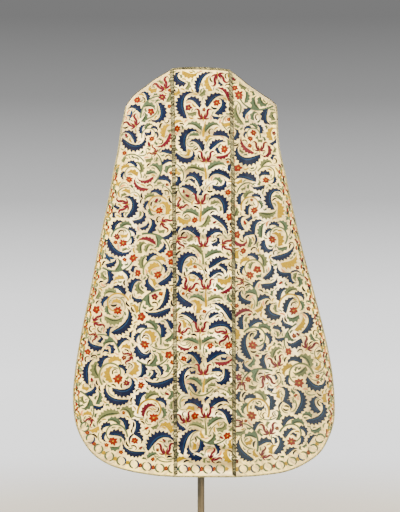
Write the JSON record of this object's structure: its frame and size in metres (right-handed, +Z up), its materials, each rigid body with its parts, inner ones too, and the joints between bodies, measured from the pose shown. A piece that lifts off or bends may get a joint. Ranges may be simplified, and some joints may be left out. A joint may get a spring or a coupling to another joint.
{
  "type": "chasuble on a display stand",
  "caption": "Embroidered silk chasuble with a set-in centre column and braid, resting on a padded shoulder form on a pole stand.",
  "frame": {"origin": "centre of the base plate's underside, on the floor", "axes": "+Z up, -Y out of the back of the garment, +X to the wearer's right"},
  "size_m": [0.718, 0.36, 1.4212],
  "materials": {
    "silk": "cream silk with coloured silk floss embroidery, soft sheen",
    "braid": "woven olive and old gold braid, slightly metallic",
    "linen": "matte undyed linen cover over padding",
    "stand_metal": "satin bronze coloured paint"
  },
  "bodies": {
    "root": {"back_left": "silk", "back_centre": "silk", "back_right": "silk", "front_left": "silk", "front_centre": "silk", "front_right": "silk", "back_galloon_left": "braid", "back_galloon_right": "braid", "back_edge_braid": "braid", "front_galloon_left": "braid", "front_galloon_right": "braid", "front_edge_braid": "braid", "neck_galloon_back": "braid", "neck_galloon_front": "braid", "shoulder_galloon_left": "braid", "shoulder_galloon_right": "braid", "shoulder_form": "linen", "form_flange": "stand_metal", "pole": "stand_metal", "base_collar": "stand_metal", "base_plate": "stand_metal"}
  },
  "joints": []
}
